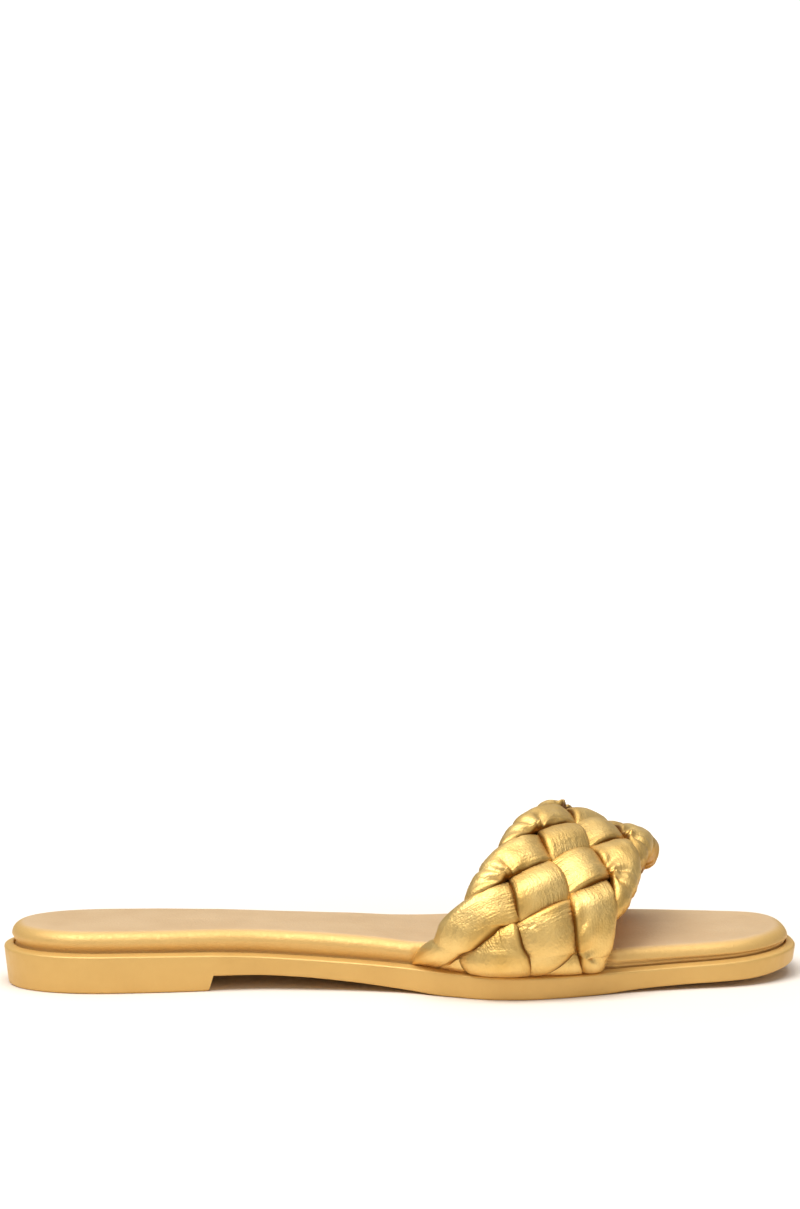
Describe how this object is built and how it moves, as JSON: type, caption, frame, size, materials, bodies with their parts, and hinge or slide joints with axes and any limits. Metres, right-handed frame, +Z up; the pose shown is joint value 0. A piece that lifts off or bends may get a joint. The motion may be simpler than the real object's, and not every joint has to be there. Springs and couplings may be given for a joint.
{
  "type": "braided flat sandal",
  "caption": "Flat slip-on sandal, right shoe: a wide gold leather strap plaited from soft padded strands, on a padded leather footbed and a low moulded unit sole with a heel.",
  "frame": {"origin": "middle of the outsole's length and width, on the ground", "axes": "+X from heel to toe, +Y towards the inner side of the foot, +Z up"},
  "size_m": [0.254, 0.0994, 0.0532],
  "materials": {
    "sole_rubber": "satin painted gold tan",
    "footbed_leather": "soft metallic gold nappa",
    "strap_leather": "bright metallic gold nappa, finely grained"
  },
  "bodies": {
    "root": {"outsole": "sole_rubber", "insole": "footbed_leather", "upper": "strap_leather"}
  },
  "joints": []
}
